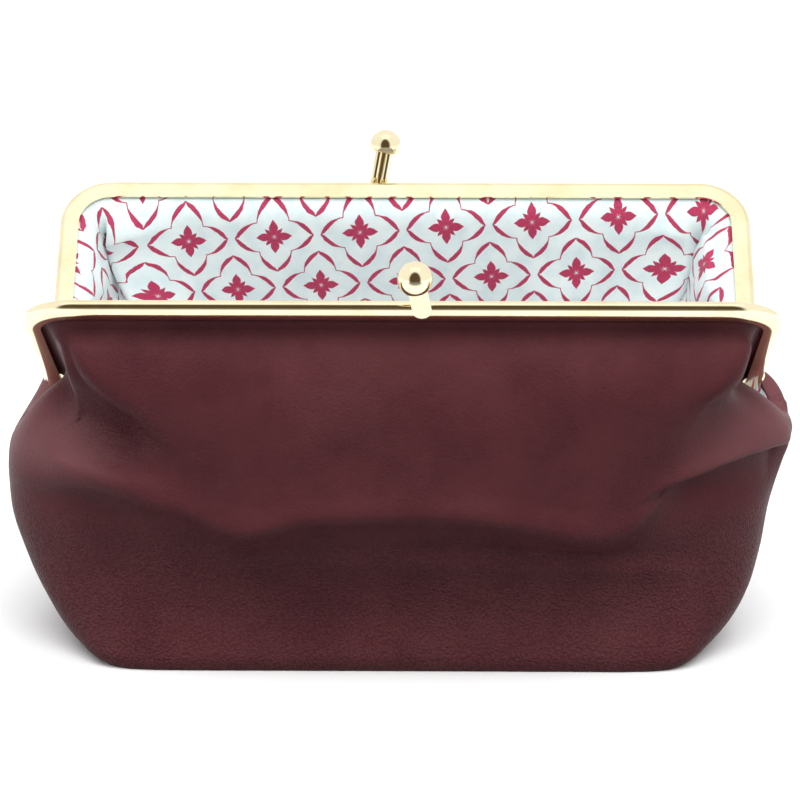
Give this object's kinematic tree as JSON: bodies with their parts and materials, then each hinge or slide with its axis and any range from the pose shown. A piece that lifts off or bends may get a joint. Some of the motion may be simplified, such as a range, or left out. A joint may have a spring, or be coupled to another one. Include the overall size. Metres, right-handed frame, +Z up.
{
  "type": "cosmetic pouch",
  "caption": "Leather cosmetic pouch with a boxed flat base and cotton lining, hung from a hinged metal channel frame that closes with crossing ball clasps.",
  "frame": {"origin": "on the floor, on the flat underside of the base, under the middle of the open pouch's depth", "axes": "+X along the frame bars to the right, +Y from the front half towards the rear half, +Z up"},
  "size_m": [0.2197, 0.1222, 0.1365],
  "materials": {
    "frame_gold": "polished pale gold plating",
    "leather": "burgundy, fine pebble grain, soft sheen",
    "lining": "plain-weave cotton, pale aqua with a crimson repeat",
    "paper_cord": "twisted kraft paper"
  },
  "bodies": {
    "pouch": {"leather_front_panel": "leather", "leather_rear_panel": "leather", "lining_front_panel": "lining", "lining_rear_panel": "lining", "left_hinge_rivet": "frame_gold", "right_hinge_rivet": "frame_gold"},
    "front_half": {"front_frame": "frame_gold", "front_clasp_stem": "frame_gold", "front_clasp_ball": "frame_gold", "front_channel_cord": "paper_cord"},
    "rear_half": {"rear_frame": "frame_gold", "rear_clasp_stem": "frame_gold", "rear_clasp_ball": "frame_gold", "rear_channel_cord": "paper_cord"}
  },
  "joints": [
    {"name": "front_swing", "type": "hinge", "parent": "pouch", "child": "front_half", "pos_m": [0, 0.0055, 0.076], "axis": [-1, 0, 0], "range_deg": [0, 58], "deforming": ["leather_front_panel", "lining_front_panel"]},
    {"name": "rear_swing", "type": "hinge", "parent": "pouch", "child": "rear_half", "pos_m": [0, 0.0055, 0.076], "axis": [1, 0, 0], "range_deg": [0, 44], "deforming": ["leather_rear_panel", "lining_rear_panel"]}
  ]
}
